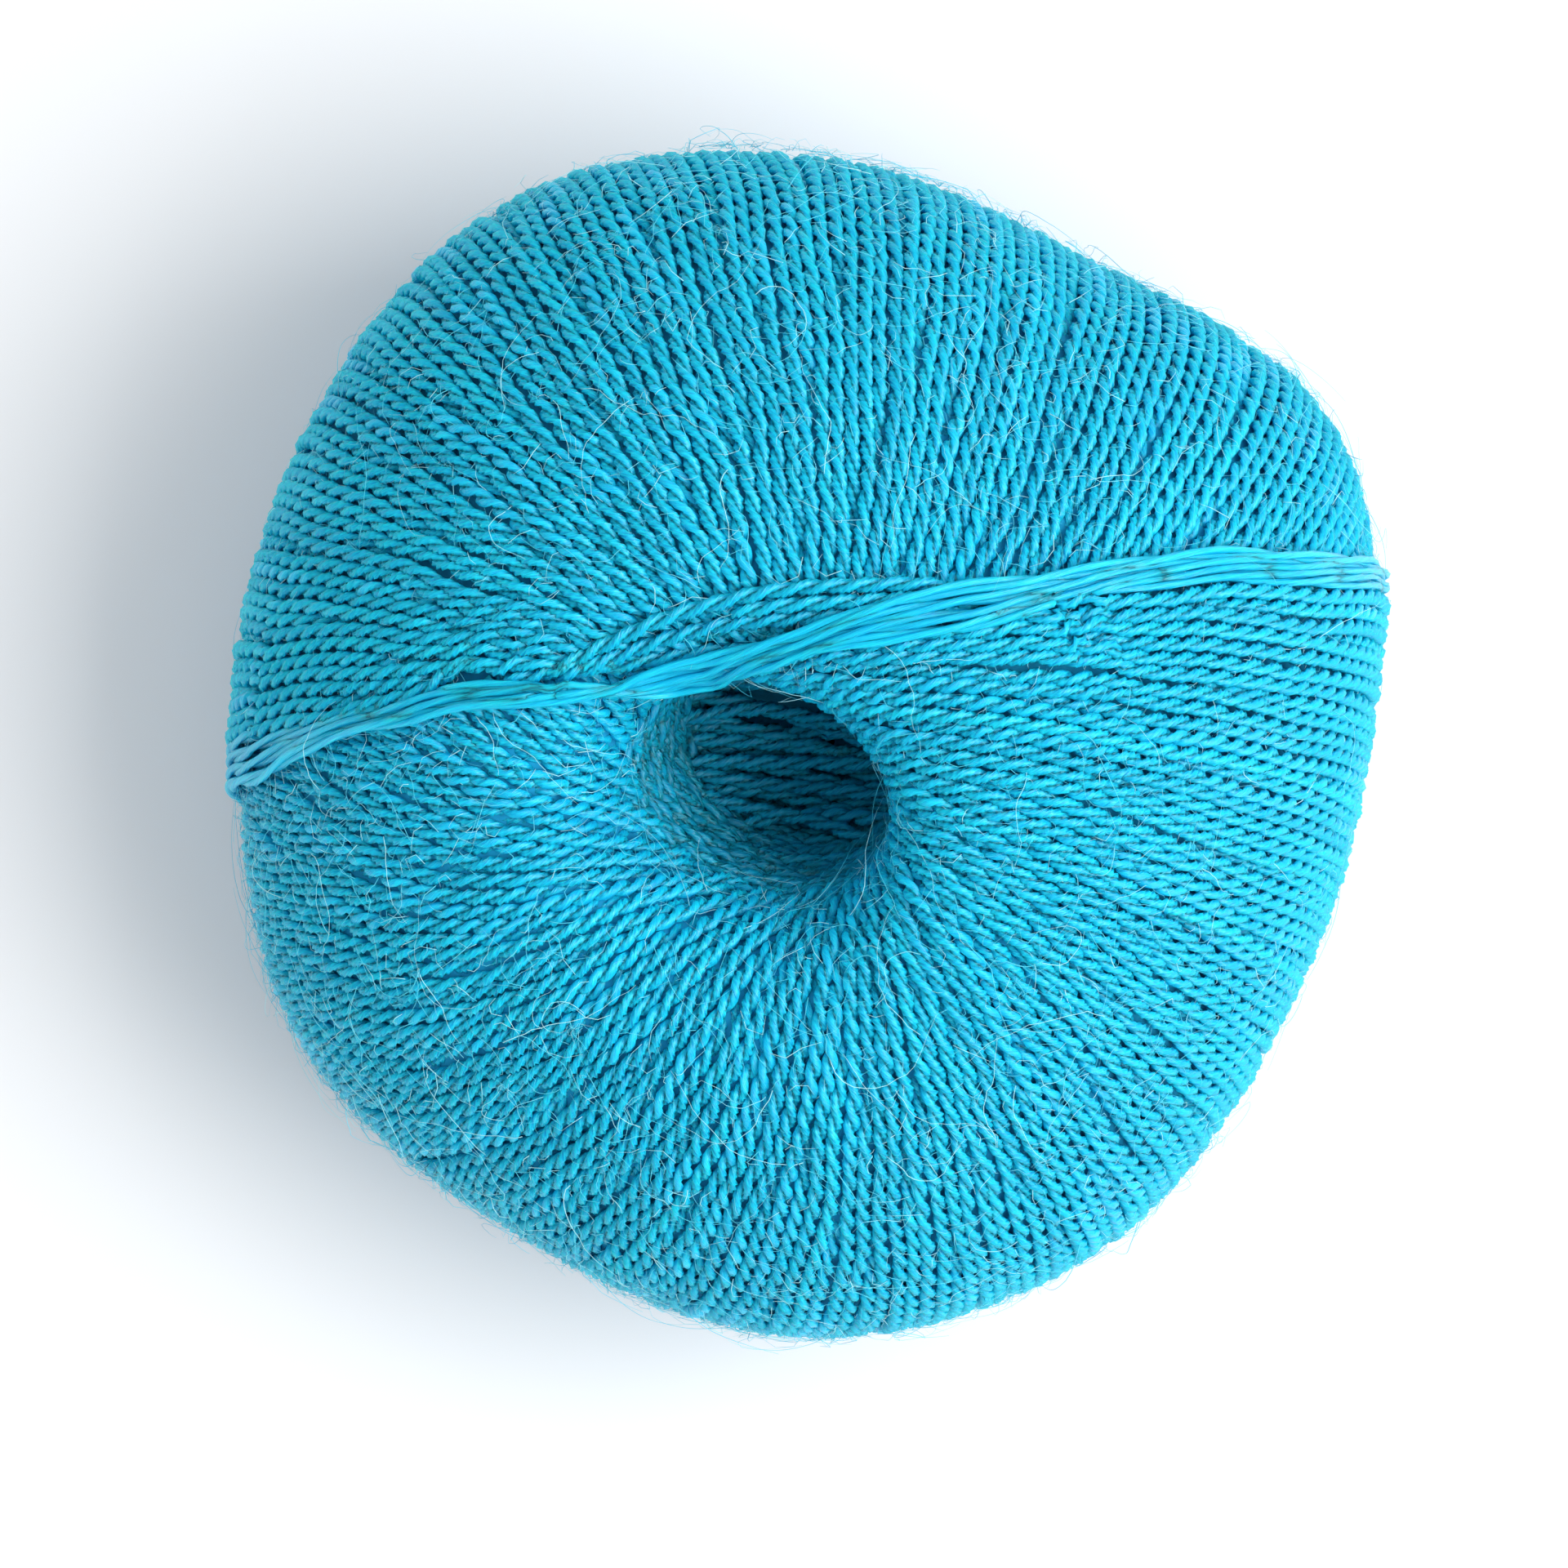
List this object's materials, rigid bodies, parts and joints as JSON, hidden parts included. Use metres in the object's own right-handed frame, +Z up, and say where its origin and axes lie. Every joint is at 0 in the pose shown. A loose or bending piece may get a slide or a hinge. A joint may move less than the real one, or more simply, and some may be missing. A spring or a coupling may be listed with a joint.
{
  "type": "yarn cake",
  "caption": "Soft turquoise centre-pull yarn cake of fine two-ply yarn, wound round a pull hole and lying on its flattened base.",
  "frame": {"origin": "under the middle of the cake's bounding box, on the surface it lies on", "axes": "+Z up through the cake towards the open end of its pull hole; seen from above +X is to the right of the picture and +Y to its top"},
  "size_m": [0.087, 0.0884, 0.0601],
  "materials": {
    "turquoise_yarn": "matt"
  },
  "bodies": {
    "root": {"wound_yarn": "turquoise_yarn"}
  },
  "joints": []
}
